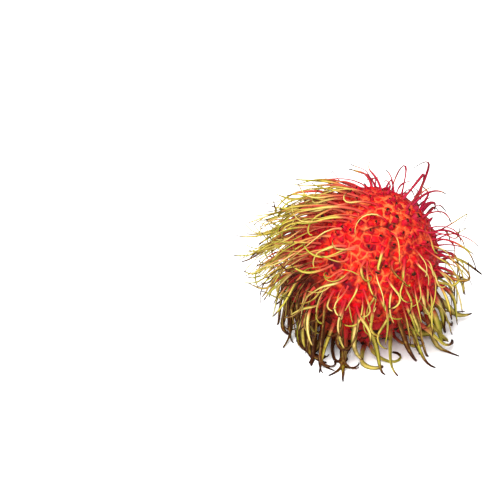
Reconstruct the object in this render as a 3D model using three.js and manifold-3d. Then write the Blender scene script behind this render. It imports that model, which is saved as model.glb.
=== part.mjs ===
// A ripe rambutan, as picked: an egg-shaped rind whose soft spines grow out of it, all one piece.
// Millimetres, +Z up. The origin is on the surface that the fruit lies on, under the middle of its body,
// and the fruit faces -Y with its blossom end raised.
import * as THREE from "three";
import { mergeVertices } from "three/addons/utils/BufferGeometryUtils.js";
import Module from "manifold-3d";

const { degToRad, lerp, smoothstep } = THREE.MathUtils;

// The rind
const BODY_LENGTH = 49.5; // pole to pole
const BODY_WIDTH = 41.5; // across the middle
const BLOSSOM_TAPER = 0.05; // how much the blossom end narrows and the stem end widens
const CENTRE_HEIGHT = 22.5; // leaves a small flat spot where the rind meets the surface
const BLOSSOM_ELEVATION = 53; // degrees that the blossom end points above level
const BLOSSOM_TURN = 22; // degrees that it is turned from -Y towards +X
const RIND_DETAIL = 6; // divisions of each edge of the icosahedron under the rind

// The stalk scar at the stem end
const SCAR_RADIUS = 2.6;
const SCAR_RISE = 0.9;
const SCAR_SIDES = 12;

// Where the spines stand
const SPINE_COUNT = 430; // places on the rind, from some of which the spine has broken off
const BLOSSOM_CROWDING = 0.55; // how much closer they stand at the blossom end
const CROWDING_REACH = 0.06; // of that crowding, as a share of the upright fruit's half height
const PLACE_JITTER = 0.34; // share of the spacing
const BARE_FOOT = 1.5; // a spine that would start lower than this isn't there

// Their size
const SPINE_LENGTH = 13;
const LENGTH_SPREAD = 5.6; // between the shortest and the longest
const LEFT_GROWTH = 6.4; // how much longer they are on the -X side
const LOW_GROWTH = 4.2; // the same for the low ones
const RIGHT_GROWTH = 3.4; // the same on the exposed +X side
const TOP_LOSS = 5; // how much shorter they are on the exposed top
const FRONT_LOSS = 2; // the same on the -Y side, where they don't grow longer towards -X either
const FOOT_RADIUS = 1.75; // of the knob that a spine grows out of, inside the rind
const FOOT_DEPTH = 1.3;
const NECK_RADIUS = 0.82; // where the knob has narrowed to the spine
const TIP_RADIUS = 0.28;
const TAPER = 1.8; // above 1, a spine keeps its thickness longer
const HIGH_STOUTNESS = 0.41; // the radii of the high ones, as a share of those above
const LOW_STOUTNESS = 0.9; // and of the low ones
const STOUTNESS_SPREAD = 0.35;

// How they run
const ROUTE_STEPS = 24;
const COMB = 0.5; // how far a spine leans away from the blossom end as it leaves the rind
const COMB_SPREAD = 0.8; // share of that lean
const SWEEP = 1.15; // how far those on the -X side lean that way
const SCATTER = 0.7; // how far they lean to either side
const FALL = 84; // degrees that a spine turns down in its length
const FALL_SPREAD = 80;
const SWIRL = 110; // degrees that it turns aside, along the rind
const WAVE = 75; // degrees that it turns to and fro
const CURL = 230; // degrees that the tip of the curliest turns
const CURL_FROM = 0.55; // share of the length where the curl starts
const HOOKED = 0.4; // share of the curls that turn in towards the rind
const LOOPED = 0.12; // share of the exposed spines that stand up in a loop
const LOOP_GROWTH = 6.5; // how much longer those are, and up to twice that on top
const LOOP_CURL = 190; // degrees that they turn
const LOOP_FROM = 0.25; // share of the length where the loop starts
const LANDING = 4.5; // height at which a spine starts to level out above the surface
const LEVELLING = 0.72; // what each step there leaves of its fall
const RIND_CLEARANCE = 1.1; // between a spine that bends back and the rind
const SURFACE_CLEARANCE = -0.1; // between a spine and the surface: below 0, those that lie on it are pressed flat

// The spines of this solid
const SPINE_SIDES = 3;
const RING_STATIONS = [0.13, 0.42, 0.73, 1]; // shares of the length, above the ring inside the rind
const LEFT_OUT_EVERY = 22; // one place in so many has no spine in this solid
const LEFT_OUT = 4; // and this is the first of them
const FINENESS = 0.005; // detail smaller than this is merged

const GOLDEN_TURN = Math.PI * (3 - Math.sqrt(5));
const RED = 0xd81f1c;
const UP = new THREE.Vector3(0, 0, 1);

const axis = new THREE.Vector3(0, -1, 0)
  .applyAxisAngle(new THREE.Vector3(1, 0, 0), -degToRad(BLOSSOM_ELEVATION))
  .applyAxisAngle(UP, degToRad(BLOSSOM_TURN));
const bodyTurn = new THREE.Quaternion().setFromUnitVectors(UP, axis);
const centre = new THREE.Vector3(0, 0, CENTRE_HEIGHT);

// A number from 0 to 1 that is always the same for the same spine and purpose.
function draw(index, purpose) {
  const wave = Math.sin(index * 12.9898 + purpose * 78.233) * 43758.5453;
  return wave - Math.floor(wave);
}

const spread = (index, purpose) => 2 * draw(index, purpose) - 1;

// A number from -1 to 1 that neighbouring spines share, so that they lie in locks.
function drift(place, purpose) {
  const first = Math.sin(4.6 * place.x + 2.3 * place.y + purpose);
  return first * Math.cos(3.9 * place.y - 3.1 * place.z + 1.7 * purpose);
}

// A sum of vectors, each given with its weight.
function blend(...terms) {
  return terms.reduce((sum, [vector, weight]) => sum.addScaledVector(vector, weight), new THREE.Vector3());
}

// The rind's half width at a share of the way from its middle (0) to the blossom end (1) or stem end (-1).
function halfWidth(along) {
  return (BODY_WIDTH / 2) * (1 - BLOSSOM_TAPER * along);
}

// The point of the rind that a unit vector of the upright fruit stands for, in the part's frame.
function onRind(unit) {
  const wide = halfWidth(unit.z);
  return new THREE.Vector3(unit.x * wide, unit.y * wide, (unit.z * BODY_LENGTH) / 2)
    .applyQuaternion(bodyTurn)
    .add(centre);
}

// How far out a point is, as a share of the rind's own size: 1 is on the rind.
function depthShare(point) {
  const local = point.clone().sub(centre).applyQuaternion(bodyTurn.clone().invert());
  const along = local.z / (BODY_LENGTH / 2);
  return Math.hypot(Math.hypot(local.x, local.y) / halfWidth(along), along);
}

// The direction straight out of the rind at a point.
function outward(point) {
  const step = 0.01;
  const here = depthShare(point);
  const slope = ["x", "y", "z"].map((name) => {
    const moved = point.clone();
    moved[name] += step;
    return depthShare(moved) - here;
  });
  return new THREE.Vector3(...slope).normalize();
}

// The unit vector of the upright fruit where a spine stands: a spiral from the blossom end to the stem end.
function spinePlace(index) {
  const even = 1 - (2 * (index + 0.5)) / SPINE_COUNT;
  const crowding = 1 - BLOSSOM_CROWDING * Math.exp(-(1 - even) / CROWDING_REACH);
  const height = 1 - (1 - even) * crowding;
  const flat = Math.sqrt(1 - height * height);
  const turn = index * GOLDEN_TURN;
  const jitter = PLACE_JITTER * crowding * Math.sqrt((4 * Math.PI) / SPINE_COUNT);
  return new THREE.Vector3(Math.cos(turn) * flat, Math.sin(turn) * flat, height)
    .addScaledVector(new THREE.Vector3(spread(index, 1), spread(index, 2), spread(index, 3)), jitter)
    .normalize();
}

// Whether a spine has broken off, as many have round the blossom end and under the fruit.
function isBroken(index, place, normal) {
  const worn = 0.5 * smoothstep(place.z, 0.5, 0.93) + 0.5 * smoothstep(-normal.z, 0.2, 0.5);
  return draw(index, 13) < 0.1 + worn;
}

// The shares by which a spine is a low one, one on the -X side, one tucked in under that side, one on the -Y
// side, and one of those on the high far side, which dried thin and stand away.
function regionsOf(normal) {
  const low = smoothstep(-normal.z, -0.05, 0.5);
  const side = smoothstep(-normal.x, -0.3, 0.3);
  const tucked = side * smoothstep(-normal.z, -0.2, 0.35);
  const left = side * smoothstep(normal.z, -0.15, 0.35);
  const front = smoothstep(-normal.y, 0.35, 0.85) * (1 - low);
  const away = 0.7 * normal.x + 0.6 * normal.y + 0.3 * normal.z;
  return { low, left, tucked, front, exposed: smoothstep(away, 0.3, 0.75) * (1 - left) };
}

// The points that a spine runs through, its direction out of the rind and how stout it is. Null where none stands.
function spineRoute(index) {
  const place = spinePlace(index);
  const root = onRind(place);
  const normal = outward(root);
  if (root.z < BARE_FOOT || isBroken(index, place, normal)) return null;
  const { low, left, tucked, front, exposed } = regionsOf(normal);
  const looped = exposed > 0.3 && draw(index, 110) < LOOPED;
  const high = Math.max(0, normal.z);
  const length =
    SPINE_LENGTH +
    (LENGTH_SPREAD / 2) * spread(index, 4) +
    LEFT_GROWTH * left * (1 - front) +
    LOW_GROWTH * low -
    FRONT_LOSS * front +
    exposed * (RIGHT_GROWTH * Math.max(0, normal.x) - TOP_LOSS * high) +
    (looped ? LOOP_GROWTH * (1 + high) : 0);
  const usual = lerp(HIGH_STOUTNESS, LOW_STOUTNESS, low) * (1 - 0.15 * exposed);
  const stout = usual * (1 + STOUTNESS_SPREAD * spread(index, 5));

  const comb = blend([axis, -1], [normal, axis.dot(normal)]).normalize();
  const side = new THREE.Vector3().crossVectors(normal, comb);
  const calm = (1 - 0.55 * left * (1 - front)) * (1 - 0.35 * low) * (1 - 0.5 * exposed) * (1 + 0.4 * front);
  const lean = COMB * (1 + COMB_SPREAD * spread(index, 6)) * (1 - 0.8 * low) * (1 - 0.5 * exposed);
  const aside = SCATTER * calm * (0.6 * drift(place, 1) + 0.8 * spread(index, 7));
  const sweep = new THREE.Vector3(-SWEEP * left, 0, 0);
  const leaning = blend([normal, 1 - 0.35 * left], [comb, lean], [sweep, 1], [side, aside]).normalize();
  const heading = blend(
    [leaning, 1],
    [new THREE.Vector3(0.15, -0.5, -0.8), tucked],
    [UP, 0.35 * exposed * (1 - high)],
  ).normalize();
  const forward = new THREE.Vector3(1 - 0.9 * tucked, -0.3 - 0.9 * tucked, 0);
  const pull = blend([UP, -0.9], [comb, 0.3], [sweep, 1], [forward, 0.35 * low]);

  const supple = (1 - 0.45 * left) * (1 - 0.6 * low) * (1 + exposed * (0.5 - 0.7 * high)) * (looped ? 0.3 : 1);
  const fall = degToRad(FALL + (FALL_SPREAD / 2) * spread(index, 10)) * supple;
  const swirl = degToRad(SWIRL) * calm * (0.4 * drift(place, 2) + 0.8 * spread(index, 8));
  const wave = degToRad(WAVE) * calm * spread(index, 9);
  const hand = Math.sign(spread(index, 12));
  const curl = looped ? degToRad(LOOP_CURL) * hand : degToRad(CURL) * draw(index, 11) ** 2 * lerp(hand, 1, low);
  const curlFrom = looped ? LOOP_FROM : CURL_FROM;
  const hooked = looped || draw(index, 23) < HOOKED * (1 - low);

  const at = root.clone();
  const points = [root];
  for (let step = 1; step <= ROUTE_STEPS; step++) {
    const share = step / ROUTE_STEPS;
    const hinge = new THREE.Vector3().crossVectors(heading, pull).normalize();
    heading.applyAxisAngle(hinge, (lerp(2 * (1 - share), 1, exposed) * fall) / ROUTE_STEPS);
    const away = at.clone().sub(centre).normalize();
    const out = blend([away, 1 - low], [UP, low]).normalize();
    heading.applyAxisAngle(out, (swirl + 2 * wave * Math.sin(2 * Math.PI * share)) / ROUTE_STEPS);
    if (share > curlFrom) {
      heading.applyAxisAngle(hooked ? side : out, curl / (ROUTE_STEPS * (1 - curlFrom)));
    }
    if (at.z < LANDING && heading.z < 0) {
      heading.z *= LEVELLING;
      heading.normalize();
    }
    at.addScaledVector(heading, length / ROUTE_STEPS);
    keepClear(at, heading, share, stout);
    points.push(at.clone());
  }
  return { points, normal, stout };
}

// Moves a point of a spine out of the rind and off the surface that the fruit lies on.
function keepClear(at, heading, share, stout) {
  const clear = 1 + (RIND_CLEARANCE * Math.min(1, 3 * share)) / (BODY_WIDTH / 2);
  const out = depthShare(at);
  if (out < clear) at.sub(centre).multiplyScalar(clear / out).add(centre);
  const lowest = SURFACE_CLEARANCE + spineRadius(share, stout);
  if (at.z < lowest) {
    at.z = lowest;
    heading.z = Math.max(heading.z, 0.02);
    heading.normalize();
  }
}

// A spine's radius at a share of its length, once it has left its knob.
function spineRadius(share, stout) {
  return stout * lerp(NECK_RADIUS, TIP_RADIUS, share ** TAPER);
}

// A closed geometry as a solid that can be joined and cut.
function solidOf(geometry, wasm) {
  const bare = new THREE.BufferGeometry();
  bare.setAttribute("position", geometry.getAttribute("position"));
  bare.setIndex(geometry.getIndex());
  const merged = mergeVertices(bare, 1e-4);
  return new wasm.Manifold(
    new wasm.Mesh({
      numProp: 3,
      vertProperties: merged.attributes.position.array,
      triVerts: new Uint32Array(merged.index.array),
    }),
  );
}

// The rind, as a ball of small triangles drawn out into the fruit's shape.
function rindGeometry() {
  const geometry = new THREE.IcosahedronGeometry(1, RIND_DETAIL);
  const place = geometry.getAttribute("position");
  for (let i = 0; i < place.count; i++) {
    const point = onRind(new THREE.Vector3().fromBufferAttribute(place, i).normalize());
    place.setXYZ(i, point.x, point.y, point.z);
  }
  return geometry;
}

// The low dry disc where the stalk broke off.
function scarGeometry() {
  const height = SCAR_RISE + FOOT_DEPTH;
  const geometry = new THREE.CylinderGeometry(SCAR_RADIUS, SCAR_RADIUS, height, SCAR_SIDES);
  const foot = onRind(new THREE.Vector3(0, 0, -1));
  return geometry
    .rotateX(Math.PI / 2)
    .applyQuaternion(bodyTurn)
    .translate(...foot.addScaledVector(axis, height / 2 - SCAR_RISE).toArray());
}

// One spine: a cone whose rings are set along the route, the first of them inside the rind.
function spineGeometry({ points, normal, stout }) {
  const foot = points[0].clone().addScaledVector(normal, -FOOT_DEPTH);
  const line = [foot, ...RING_STATIONS.map((share) => along(points, share))];
  const radii = [FOOT_RADIUS * stout, ...RING_STATIONS.map((share) => spineRadius(share, stout))];
  const frames = framesOf(line);
  const geometry = new THREE.ConeGeometry(1, 1, SPINE_SIDES, line.length - 1);
  const place = geometry.getAttribute("position");
  for (let i = 0; i < place.count; i++) {
    const corner = new THREE.Vector3().fromBufferAttribute(place, i);
    const ring = Math.round((corner.y + 0.5) * (line.length - 1));
    const onAxis = Math.hypot(corner.x, corner.z) < 1e-6;
    const radius = onAxis ? 0 : radii[ring];
    const turn = Math.atan2(corner.z, corner.x);
    const spot = blend(
      [line[ring], 1],
      [frames[ring].across, radius * Math.cos(turn)],
      [frames[ring].up, radius * Math.sin(turn)],
    );
    place.setXYZ(i, spot.x, spot.y, spot.z);
  }
  return geometry;
}

// The point of a route at a share of its length.
function along(points, share) {
  const at = share * (points.length - 1);
  const low = Math.min(Math.floor(at), points.length - 2);
  return points[low].clone().lerp(points[low + 1], at - low);
}

// For each point of a line, two directions square to it and to each other, turning as little as they can.
function framesOf(line) {
  let across = null;
  return line.map((point, i) => {
    const before = line[Math.max(i - 1, 0)];
    const after = line[Math.min(i + 1, line.length - 1)];
    const forward = after.clone().sub(before).normalize();
    const seed = across ?? new THREE.Vector3(forward.z, forward.x, forward.y);
    across = seed.clone().addScaledVector(forward, -seed.dot(forward)).normalize();
    return { across, up: new THREE.Vector3().crossVectors(across, forward) };
  });
}

// Everything below the surface that the fruit lies on.
function groundGeometry() {
  const size = 4 * BODY_LENGTH;
  return new THREE.BoxGeometry(size, size, size).translate(0, 0, -size / 2);
}

async function rambutanGeometry() {
  const wasm = await Module();
  wasm.setup();
  const grown = [rindGeometry(), scarGeometry()];
  for (let index = 0; index < SPINE_COUNT; index++) {
    const route = index % LEFT_OUT_EVERY === LEFT_OUT ? null : spineRoute(index);
    if (route) grown.push(spineGeometry(route));
  }
  const joined = grown.map((geometry) => solidOf(geometry, wasm)).reduce((sum, one) => sum.add(one));
  const whole = joined.subtract(solidOf(groundGeometry(), wasm));
  // Where spines cross they can close in a speck of air. Each such speck is a surface of its own, so the
  // outer surface alone is the fruit.
  const outer = whole.decompose().reduce((most, one) => (one.volume() > most.volume() ? one : most));
  const mesh = outer.simplify(FINENESS).getMesh();
  const geometry = new THREE.BufferGeometry();
  geometry.setAttribute("position", new THREE.BufferAttribute(mesh.vertProperties, 3));
  geometry.setIndex(new THREE.BufferAttribute(mesh.triVerts, 1));
  geometry.computeVertexNormals();
  return geometry;
}

const rambutan = new THREE.Mesh(
  await rambutanGeometry(),
  new THREE.MeshStandardMaterial({ color: RED, roughness: 0.55, metalness: 0 }),
);
rambutan.name = "rambutan";

const fruit = new THREE.Group();
fruit.add(rambutan);
export default fruit;
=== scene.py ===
"""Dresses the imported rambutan: its knobbly rind, its soft spines and the dry scar of its stalk."""

import logging
import math
from dataclasses import dataclass, field
from enum import Enum, IntEnum, auto
from typing import Any, Union

import bpy
import numpy as np
from mathutils import Matrix, Vector


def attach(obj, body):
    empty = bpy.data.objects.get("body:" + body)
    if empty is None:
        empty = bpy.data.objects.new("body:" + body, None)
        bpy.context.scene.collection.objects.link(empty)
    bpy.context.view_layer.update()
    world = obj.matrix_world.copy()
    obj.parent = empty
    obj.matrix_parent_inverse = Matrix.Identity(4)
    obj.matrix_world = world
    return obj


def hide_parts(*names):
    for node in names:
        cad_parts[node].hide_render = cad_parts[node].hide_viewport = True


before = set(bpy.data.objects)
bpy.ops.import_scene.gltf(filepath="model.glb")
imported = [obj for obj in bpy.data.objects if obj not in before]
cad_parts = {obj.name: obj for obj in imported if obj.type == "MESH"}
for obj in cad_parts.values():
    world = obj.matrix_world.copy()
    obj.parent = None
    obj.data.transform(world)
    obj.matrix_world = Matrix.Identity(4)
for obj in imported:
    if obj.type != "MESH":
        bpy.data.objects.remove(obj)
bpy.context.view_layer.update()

log = logging.getLogger("rambutan")

MM = 0.001
GOLDEN_TURN = math.pi * (3 - math.sqrt(5))
UP = np.array([0.0, 0.0, 1.0])
LEFT = np.array([-1.0, 0.0, 0.0])
BODY = "root"
NODE = "rambutan"
LIFT = 0.02 * MM  # the lowest points stand this far above the floor, so that the two don't share a plane
Colour = tuple[float, float, float]
Way = tuple[float, float, float]
Span = tuple[float, float]
Number = Union[float, "Value"]

# A draw is the fraction of a large sine, which these make different for each spine and purpose
INDEX_RATE = 12.9898
PURPOSE_RATE = 78.233
SINE_SCALE = 43758.5453

# Smooth noise is the sum of a few waves
RIPPLE_WAVES = 7
SEED_STEP = 100
SLOWEST_WAVE = 0.7
WAVE_RANGE = 0.8

# How far the rind has to face a way to belong to a part of the fruit: not at all, and wholly
FACES_FAR = (0.3, 0.75)
FACES_DOWN = (-0.05, 0.5)
FACES_LEFT = (-0.3, 0.3)
LEFT_RISES = (-0.15, 0.35)
TUCKED_SINKS = (-0.2, 0.35)
FACES_FRONT = (0.35, 0.85)

# How much facing right, back and up each count towards the high far side
FAR_RIGHT, FAR_BACK, FAR_UP = 0.7, 0.6, 0.3


# Numbers and directions


class Draw(IntEnum):
    """What a draw decides, by a number of its own. The solid's spines use the same numbers."""

    PLACE_X = 1
    PLACE_Y = 2
    PLACE_Z = 3
    LENGTH = 4
    STOUTNESS = 5
    LEAN = 6
    ASIDE = 7
    SWIRL = 8
    WAVE = 9
    FALL = 10
    CURL = 11
    HAND = 12
    BROKEN = 13
    STUB_LENGTH = 14
    ROOT_MARK = 15
    FLUSH = 16
    DRY_TIP = 17
    LOW_DRY_TIP = 18
    OLIVE = 19
    TONE = 20
    TWIST = 21
    FIRST_TURN = 22
    HOOKED = 23
    SWEPT_FLUSH = 25
    DRY = 26
    STUB_STOUTNESS = 27
    ROOT_MARK_SIZE = 28
    DRYNESS = 29
    RIPPLE_X = 31
    RIPPLE_Y = 32
    RIPPLE_Z = 33
    RIPPLE_RATE = 34
    RIPPLE_START = 35
    PINK = 36
    LOOPED = 110


def draw(index: int, purpose: Draw) -> float:
    """A number from 0 to 1 that is always the same for the same spine and purpose."""
    wave = math.sin(index * INDEX_RATE + purpose * PURPOSE_RATE) * SINE_SCALE
    return wave - math.floor(wave)


def spread(index: int, purpose: Draw) -> float:
    """The same draw, from -1 to 1."""
    return 2 * draw(index, purpose) - 1


def spreads(index: int, *purposes: Draw) -> np.ndarray:
    """One such draw for each purpose."""
    return np.array([spread(index, purpose) for purpose in purposes])


def jitter(index: int) -> np.ndarray:
    """How far a spine stands off its even place, from -1 to 1 each way."""
    return spreads(index, Draw.PLACE_X, Draw.PLACE_Y, Draw.PLACE_Z)


def between(low: float, high: float, share: float) -> float:
    """The number at a share of the way from low to high."""
    return low + (high - low) * share


def unit(vector: np.ndarray) -> np.ndarray:
    """The vector at length 1. Works on one vector or on rows of them."""
    return vector / np.maximum(np.linalg.norm(vector, axis=-1, keepdims=True), 1e-12)


def turned(vector: np.ndarray, hinge: np.ndarray, angle: float) -> np.ndarray:
    """The vector turned about a hinge direction.

    Args:
        vector: what is turned.
        hinge: the direction it turns about, at length 1.
        angle: the turn, in radians.

    Returns:
        The turned vector.
    """
    across = np.cross(hinge, vector)
    along = hinge * (hinge @ vector)
    return vector * math.cos(angle) + across * math.sin(angle) + along * (1 - math.cos(angle))


def smooth_step(low: float, high: float, value: np.ndarray | float) -> np.ndarray | float:
    """0 below low, 1 above high, and a smooth ramp between them."""
    share = np.clip((value - low) / (high - low), 0, 1)
    return share * share * (3 - 2 * share)


def bell(distance: np.ndarray, width: np.ndarray | float, power: int = 2) -> np.ndarray:
    """1 at no distance, falling to about a third at that width. A higher power gives a flatter top."""
    return np.exp(-((distance / width) ** power))


def ripple(points: np.ndarray, size: float, seed: int) -> np.ndarray:
    """Smooth noise at rows of points, from about -1 to 1.

    Args:
        points: places in metres.
        size: about how far apart its lumps are, in metres.
        seed: which noise.

    Returns:
        One value for each point.
    """
    total = np.zeros(len(points))
    for wave in range(RIPPLE_WAVES):
        index = SEED_STEP * seed + wave
        way = unit(spreads(index, Draw.RIPPLE_X, Draw.RIPPLE_Y, Draw.RIPPLE_Z))
        rate = 2 * math.pi / size * (SLOWEST_WAVE + WAVE_RANGE * draw(index, Draw.RIPPLE_RATE))
        total += np.sin(points @ way * rate + 2 * math.pi * draw(index, Draw.RIPPLE_START))
    return total / (RIPPLE_WAVES / 2)


# Shader maths


class Value:
    """A shader socket that adds Math nodes when it is used in a Python expression."""

    def __init__(self, tree: bpy.types.NodeTree, socket: bpy.types.NodeSocket) -> None:
        """Wraps a socket of that tree."""
        self.tree = tree
        self.socket = socket

    def maths(
        self, operation: str, *others: Number, swapped: bool = False, clamped: bool = False
    ) -> "Value":
        """Adds one Math node.

        Args:
            operation: the Math node's operation.
            others: the other operands, as numbers or values.
            swapped: True if this value comes last.
            clamped: True to keep the result from 0 to 1.

        Returns:
            The node's result.
        """
        node = self.tree.nodes.new("ShaderNodeMath")
        node.operation = operation
        node.use_clamp = clamped
        operands = [*others, self] if swapped else [self, *others]
        for place, operand in enumerate(operands):
            if isinstance(operand, Value):
                self.tree.links.new(operand.socket, node.inputs[place])
            else:
                node.inputs[place].default_value = operand
        return Value(self.tree, node.outputs[0])

    def __add__(self, other: Number) -> "Value":
        """This plus other."""
        return self.maths("ADD", other)

    __radd__ = __add__

    def __sub__(self, other: Number) -> "Value":
        """This less other."""
        return self.maths("SUBTRACT", other)

    def __rsub__(self, other: Number) -> "Value":
        """Other less this."""
        return self.maths("SUBTRACT", other, swapped=True)

    def __mul__(self, other: Number) -> "Value":
        """This times other."""
        return self.maths("MULTIPLY", other)

    def clamp(self) -> "Value":
        """This, kept from 0 to 1."""
        return self.maths("ADD", 0.0, clamped=True)

    def ramp(self, start: float, end: float) -> "Value":
        """0 where this is at start, 1 where it is at end, and straight between them."""
        return ((self - start) * (1 / (end - start))).clamp()

    def between(self, low: float, high: float) -> "Value":
        """Low where this is 0, high where it is 1, and straight between them."""
        return self * (high - low) + low


class Recipe:
    """One material as it is being built: its nodes, and its Principled shader."""

    def __init__(self, name: str) -> None:
        """Starts a material of that name.

        Args:
            name: the name.
        """
        self.material = bpy.data.materials.new(name)
        self.material.use_nodes = True
        self.tree = self.material.node_tree
        self.shader = next(n for n in self.tree.nodes if n.type == "BSDF_PRINCIPLED")

    def node(self, kind: str, settings: dict[str, Any] | None = None, **inputs: Any) -> bpy.types.Node:
        """Adds any node but a Math node.

        Args:
            kind: the node's type.
            settings: the node's own properties, which are set first.
            inputs: values, wrapped values or sockets for its inputs, by name with _ for a space.

        Returns:
            The node.
        """
        node = self.tree.nodes.new(kind)
        for name, setting in (settings or {}).items():
            setattr(node, name, setting)
        for name, given in inputs.items():
            self.feed(node.inputs[name.replace("_", " ")], given)
        return node

    def feed(self, socket: bpy.types.NodeSocket, given: Any) -> None:
        """Sets a socket to a number or colour, or links it to a value or socket.

        Args:
            socket: the socket.
            given: a number, a colour, a wrapped value or another socket.
        """
        if isinstance(given, Value):
            given = given.socket
        if isinstance(given, bpy.types.NodeSocket):
            self.tree.links.new(given, socket)
        elif isinstance(given, tuple) and socket.type == "RGBA":
            socket.default_value = (*given, 1.0)
        else:
            socket.default_value = given

    def attribute(self, name: str) -> Value:
        """The piece's own attribute of that name."""
        node = self.node("ShaderNodeAttribute", {"attribute_name": name, "attribute_type": "GEOMETRY"})
        return Value(self.tree, node.outputs["Fac"])

    def noise(self, size: float, detail: float = 2.0, roughness: float = 0.5) -> Value:
        """Smooth noise on the piece, from 0 to 1.

        Args:
            size: about how far apart its lumps are, in metres.
            detail: how many finer layers it has.
            roughness: how strong the finer layers are.

        Returns:
            The noise.
        """
        place = self.node("ShaderNodeTexCoord").outputs["Object"]
        inputs = {"Vector": place, "Scale": 1 / size, "Detail": detail, "Roughness": roughness}
        node = self.node("ShaderNodeTexNoise", **inputs)
        return Value(self.tree, node.outputs["Fac"])

    def painted(self, ground: Colour, *coats: tuple[Value, Colour]) -> bpy.types.NodeSocket:
        """Lays coats of colour over a ground colour.

        Args:
            ground: the colour below them.
            coats: how much each coat covers, from 0 to 1, and its colour, from the lowest coat up.

        Returns:
            The colour that shows.
        """
        shown = ground
        for share, colour in coats:
            node = self.node("ShaderNodeMix", {"data_type": "RGBA", "clamp_factor": True})
            # Its inputs 6 and 7 and its output 2 are the ones for colours
            self.feed(node.inputs[0], share)
            self.feed(node.inputs[6], shown)
            self.feed(node.inputs[7], colour)
            shown = node.outputs[2]
        return shown

    def bump(self, height: Value, depth: float, strength: float) -> None:
        """Feeds the shader's normal with a bump of that depth in metres."""
        node = self.node("ShaderNodeBump", Strength=strength, Distance=depth, Height=height)
        self.feed(self.shader.inputs["Normal"], node.outputs["Normal"])

    def set(self, **inputs: Any) -> None:
        """Sets the shader's inputs, by name with _ for a space."""
        for name, given in inputs.items():
            self.feed(self.shader.inputs[name.replace("_", " ")], given)


def srgb(red: int, green: int, blue: int) -> Colour:
    """A paint's colour from its usual 0 to 255 values, by the numbers of the sRGB standard."""
    shares = (value / 255 for value in (red, green, blue))
    return tuple(s / 12.92 if s <= 0.04045 else ((s + 0.055) / 1.055) ** 2.4 for s in shares)


# The fruit


@dataclass
class Fruit:
    """The fruit's form and the way it lies, from the same sizes as its solid, in metres."""

    length: float = 49.5 * MM
    width: float = 41.5 * MM
    blossom_taper: float = 0.05
    centre_height: float = 22.5 * MM
    blossom_elevation: float = 53.0
    blossom_turn: float = 22.0
    axis: np.ndarray = field(init=False)
    turn: np.ndarray = field(init=False)
    centre: np.ndarray = field(init=False)

    def __post_init__(self) -> None:
        """Works out the blossom end's direction and the turn that takes the upright fruit there."""
        rise, swing = math.radians(self.blossom_elevation), math.radians(self.blossom_turn)
        level = math.cos(rise)
        self.axis = np.array([level * math.sin(swing), -level * math.cos(swing), math.sin(rise)])
        quaternion = Vector((0, 0, 1)).rotation_difference(Vector(self.axis))
        self.turn = np.array(quaternion.to_matrix(), float)
        self.centre = np.array([0.0, 0.0, self.centre_height])

    def half_width(self, along: np.ndarray | float) -> np.ndarray | float:
        """The rind's half width at a share of its half length: 1 is the blossom end, -1 the stem end."""
        return self.width / 2 * (1 - self.blossom_taper * along)

    def on_rind(self, units: np.ndarray) -> np.ndarray:
        """The points of the rind that rows of unit vectors of the upright fruit stand for.

        Args:
            units: the unit vectors.

        Returns:
            The points, in metres.
        """
        wide = self.half_width(units[..., 2])
        high = units[..., 2] * self.length / 2
        upright = np.stack([units[..., 0] * wide, units[..., 1] * wide, high], -1)
        return upright @ self.turn.T + self.centre

    def end(self, side: int) -> np.ndarray:
        """The rind's point at the blossom end (1) or the stem end (-1)."""
        return self.on_rind(UP * side)

    def depth_share(self, points: np.ndarray) -> np.ndarray:
        """How far out rows of points are, as a share of the rind's own size: 1 is on the rind.

        Args:
            points: the points.

        Returns:
            One share for each point.
        """
        local = (points - self.centre) @ self.turn
        along = local[..., 2] / (self.length / 2)
        return np.hypot(np.hypot(local[..., 0], local[..., 1]) / self.half_width(along), along)

    def outward(self, points: np.ndarray) -> np.ndarray:
        """The directions straight out of the rind at rows of points.

        Args:
            points: the points.

        Returns:
            One unit vector for each point.
        """
        step = 0.01 * MM
        here = self.depth_share(points)
        slope = [self.depth_share(points + step * way) - here for way in np.eye(3)]
        return unit(np.stack(slope, -1))

    def comb(self, normals: np.ndarray) -> np.ndarray:
        """The directions along the rind, away from the blossom end, at rows of normals."""
        return unit(-self.axis + (normals @ self.axis)[..., None] * normals)


# The course of the spines


class SpineKind(Enum):
    """What became of a spine."""

    WHOLE = auto()
    BROKEN = auto()
    LOOPED = auto()
    FINE = auto()


def far_side(normal: np.ndarray) -> float:
    """How far a spot is on the high far side, where the spines dried thin and stand away from the rind."""
    return smooth_step(*FACES_FAR, FAR_RIGHT * normal[0] + FAR_BACK * normal[1] + FAR_UP * normal[2])


@dataclass(frozen=True)
class Region:
    """How far a spot of the rind belongs to each part of the fruit, from 0 to 1."""

    low: float
    left: float
    tucked: float  # low on the left
    exposed: float  # on the high far side
    front: float
    high: float
    right: float

    @classmethod
    def at(cls, normal: np.ndarray) -> "Region":
        """The region of the spot where the rind faces along that normal.

        Args:
            normal: the way it faces.

        Returns:
            The region.
        """
        low = smooth_step(*FACES_DOWN, -normal[2])
        leftward = smooth_step(*FACES_LEFT, -normal[0])
        left = leftward * smooth_step(*LEFT_RISES, normal[2])
        return cls(
            low=low,
            left=left,
            tucked=leftward * smooth_step(*TUCKED_SINKS, -normal[2]),
            exposed=far_side(normal) * (1 - left),
            front=smooth_step(*FACES_FRONT, -normal[1]) * (1 - low),
            high=max(0.0, normal[2]),
            right=max(0.0, normal[0]),
        )

    @property
    def flank(self) -> float:
        """The left side, as far as it isn't the front."""
        return self.left * (1 - self.front)


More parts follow.
